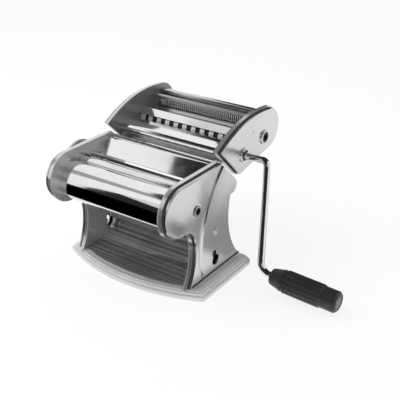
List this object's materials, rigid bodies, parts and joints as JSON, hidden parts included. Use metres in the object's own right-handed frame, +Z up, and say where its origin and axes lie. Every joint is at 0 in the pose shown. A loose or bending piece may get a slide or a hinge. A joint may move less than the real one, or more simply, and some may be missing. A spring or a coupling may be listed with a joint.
{
  "type": "pasta roller machine",
  "caption": "Hand-cranked pasta machine with smooth rollers in a chromed stand, a thickness knob, a lift-off noodle cutter head and a removable crank.",
  "frame": {"origin": "middle of the base tray's underside, on the surface that the machine stands on", "axes": "+X along the rollers towards the crank side, +Y to the back where the cutter head hangs, +Z up"},
  "size_m": [0.3415, 0.2298, 0.1805],
  "materials": {
    "polished_steel": "polished",
    "satin_steel": "satin",
    "roller_steel": "polished",
    "gear_steel": "satin",
    "bronze": "satin",
    "black_plastic": "satin",
    "grey_plastic": "matte",
    "foot_rubber": "matte"
  },
  "bodies": {
    "machine": {"base_tray": "satin_steel", "rubber_feet": "foot_rubber", "foot_screws": "satin_steel", "left_frame": "satin_steel", "right_frame": "satin_steel", "left_cover": "satin_steel", "right_cover": "satin_steel", "cover_screws": "polished_steel", "front_guard": "polished_steel", "feed_plate": "polished_steel", "side_guides": "polished_steel", "back_ramp": "polished_steel", "tie_rods": "satin_steel", "rear_rail": "satin_steel", "front_scraper": "polished_steel", "rear_scraper": "polished_steel", "front_bushes": "bronze", "crank_ring": "polished_steel", "adjuster_housing": "satin_steel"},
    "front_roller": {"front_roller": "roller_steel", "front_coupling_gear": "gear_steel"},
    "rear_carriage": {"bearing_blocks": "bronze", "adjuster_bush": "bronze"},
    "rear_roller": {"rear_roller": "roller_steel", "rear_coupling_gear": "gear_steel", "drive_gear": "gear_steel"},
    "drive_shaft": {"drive_pinion": "gear_steel"},
    "adjuster": {"eccentric_shaft": "gear_steel", "knob_spring": "gear_steel", "knob_washer": "satin_steel"},
    "knob": {"adjuster_knob": "polished_steel"},
    "cutter_head": {"cutter_left_frame": "satin_steel", "cutter_right_frame": "satin_steel", "cutter_left_cover": "satin_steel", "cutter_right_cover": "satin_steel", "cutter_tray": "polished_steel", "cutter_rail": "satin_steel", "cutter_divider": "polished_steel", "cutter_rear_bar": "polished_steel", "cutter_tie_rods": "satin_steel", "wide_combs": "polished_steel", "fine_combs": "polished_steel", "cutter_crank_rings": "polished_steel"},
    "wide_front": {"wide_front_roller": "roller_steel", "wide_front_gear": "gear_steel"},
    "wide_rear": {"wide_rear_roller": "roller_steel", "wide_rear_gear": "gear_steel"},
    "fine_front": {"fine_front_roller": "roller_steel", "fine_front_gear": "gear_steel"},
    "fine_rear": {"fine_rear_roller": "roller_steel", "fine_rear_gear": "gear_steel"},
    "crank": {"crank_rod": "polished_steel"},
    "grip": {"hand_grip": "black_plastic", "grip_cap": "grey_plastic"}
  },
  "joints": [
    {"name": "front_roller_turn", "type": "hinge", "parent": "machine", "child": "front_roller", "pos_m": [0, -0.034, 0.1194], "axis": [1, 0, 0], "continuous": true},
    {"name": "roller_gap", "type": "slide", "parent": "machine", "child": "rear_carriage", "axis": [0, 0.927, -0.375], "range_m": [0, 0.0025]},
    {"name": "rear_roller_turn", "type": "hinge", "parent": "rear_carriage", "child": "rear_roller", "pos_m": [0, -0.01027, 0.1098], "axis": [1, 0, 0], "continuous": true},
    {"name": "drive_turn", "type": "hinge", "parent": "machine", "child": "drive_shaft", "pos_m": [0, -0.03417, 0.1073], "axis": [1, 0, 0], "continuous": true},
    {"name": "gap_setting", "type": "hinge", "parent": "machine", "child": "adjuster", "pos_m": [0, -0.00911, 0.10933], "axis": [1, 0, 0], "range_deg": [0, 180]},
    {"name": "knob_pull", "type": "slide", "parent": "adjuster", "child": "knob", "axis": [-1, 0, 0], "range_m": [0, 0.004], "stiffness_N_per_m": 800, "springref_m": -0.003},
    {"name": "cutter_lift", "type": "slide", "parent": "machine", "child": "cutter_head", "axis": [0, 0, 1], "range_m": [0, 0.03]},
    {"name": "wide_turn", "type": "hinge", "parent": "cutter_head", "child": "wide_front", "pos_m": [0, 0.0615, 0.1379], "axis": [1, 0, 0], "continuous": true},
    {"name": "wide_rear_turn", "type": "hinge", "parent": "cutter_head", "child": "wide_rear", "pos_m": [0, 0.08076, 0.14491], "axis": [1, 0, 0], "continuous": true},
    {"name": "fine_turn", "type": "hinge", "parent": "cutter_head", "child": "fine_front", "pos_m": [0, 0.10604, 0.1455], "axis": [1, 0, 0], "continuous": true},
    {"name": "fine_rear_turn", "type": "hinge", "parent": "cutter_head", "child": "fine_rear", "pos_m": [0, 0.12219, 0.15812], "axis": [1, 0, 0], "continuous": true},
    {"name": "crank_pull", "type": "slide", "parent": "wide_front", "child": "crank", "axis": [1, 0, 0], "range_m": [0, 0.025]},
    {"name": "grip_turn", "type": "hinge", "parent": "crank", "child": "grip", "pos_m": [0.18621, 0.02347, 0.01728], "axis": [0.9992, -0.0121, -0.0383], "continuous": true}
  ],
  "couplings": [
    {"joint": "rear_roller_turn", "follows": "front_roller_turn", "ratio": -1},
    {"joint": "drive_turn", "follows": "front_roller_turn", "ratio": 2},
    {"joint": "gap_setting", "follows": "roller_gap", "rad_per_m": 1256.6},
    {"joint": "wide_rear_turn", "follows": "wide_turn", "ratio": -1},
    {"joint": "fine_rear_turn", "follows": "fine_turn", "ratio": -1}
  ]
}
